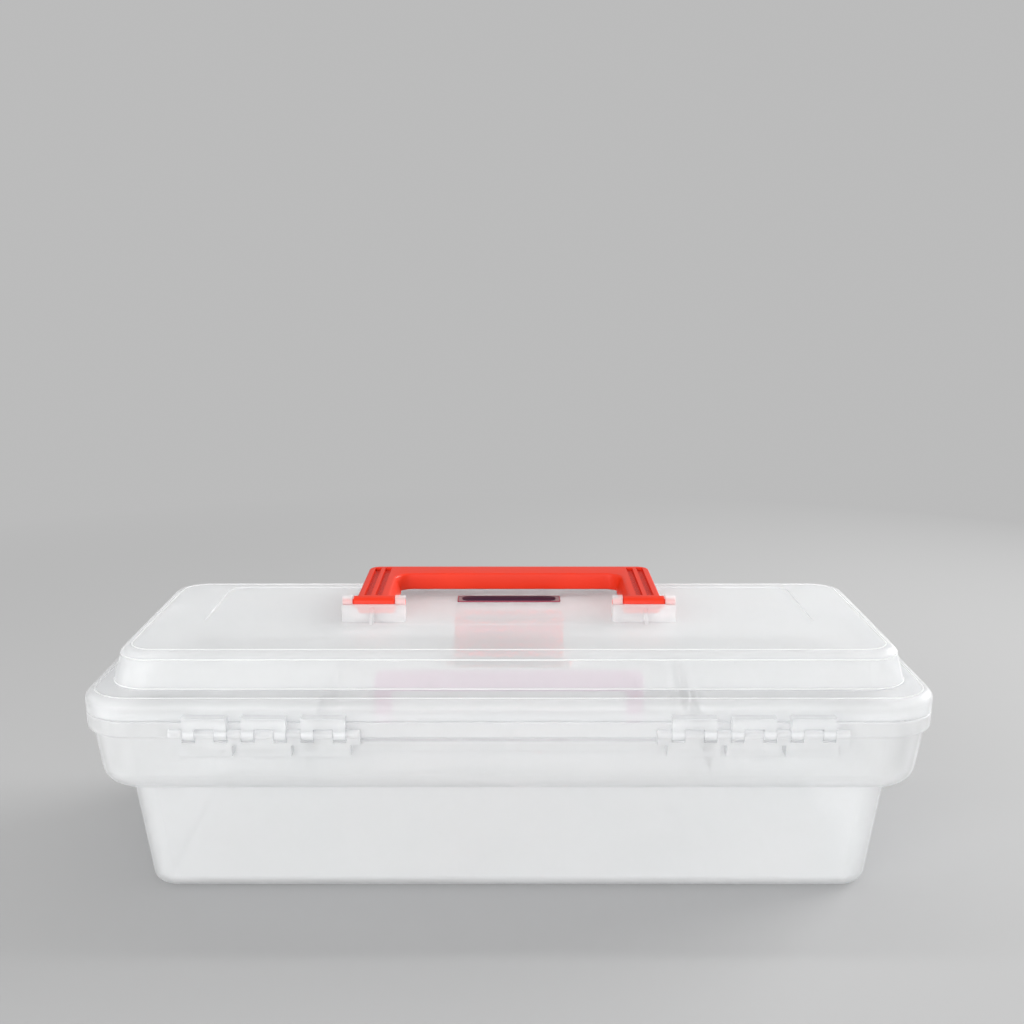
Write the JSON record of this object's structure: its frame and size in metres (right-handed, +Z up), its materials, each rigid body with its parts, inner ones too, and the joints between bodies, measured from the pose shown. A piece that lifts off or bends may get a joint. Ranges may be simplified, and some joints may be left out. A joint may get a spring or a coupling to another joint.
{
  "type": "tool box",
  "caption": "Long clear-plastic tool box with a clip-down hinged lid, folding carry handle, front latch and lift-out divided tray.",
  "frame": {"origin": "middle of the tub's flat base", "axes": "+X along the length, -Y towards the latch, +Y towards the hinge, +Z up"},
  "size_m": [0.436, 0.2128, 0.142],
  "materials": {
    "clear_plastic": "milky translucent polypropylene, satin outside",
    "tinted_plastic": "milky mauve polypropylene, satin",
    "red_plastic": "orange-red, semi-gloss",
    "dark_label": "satin, blank"
  },
  "bodies": {
    "tub_body": {"tub": "clear_plastic"},
    "lid_body": {"lid": "clear_plastic", "label_plate": "dark_label"},
    "handle_body": {"handle": "red_plastic"},
    "latch_body": {"latch": "red_plastic"},
    "tray_body": {"tray": "clear_plastic", "tray_handle": "tinted_plastic"}
  },
  "joints": [
    {"name": "lid_hinge", "type": "hinge", "parent": "tub_body", "child": "lid_body", "pos_m": [0, 0.1011, 0.095], "axis": [-1, 0, 0], "range_deg": [0, 105]},
    {"name": "handle_fold", "type": "hinge", "parent": "lid_body", "child": "handle_body", "pos_m": [0, 0.0075, 0.138], "axis": [-1, 0, 0], "range_deg": [0, 90]},
    {"name": "latch_swing", "type": "hinge", "parent": "tub_body", "child": "latch_body", "pos_m": [0, -0.1007, 0.068], "axis": [1, 0, 0], "range_deg": [0, 120]},
    {"name": "tray_lift", "type": "slide", "parent": "tub_body", "child": "tray_body", "axis": [0, 0, 1], "range_m": [0, 0.012]}
  ]
}
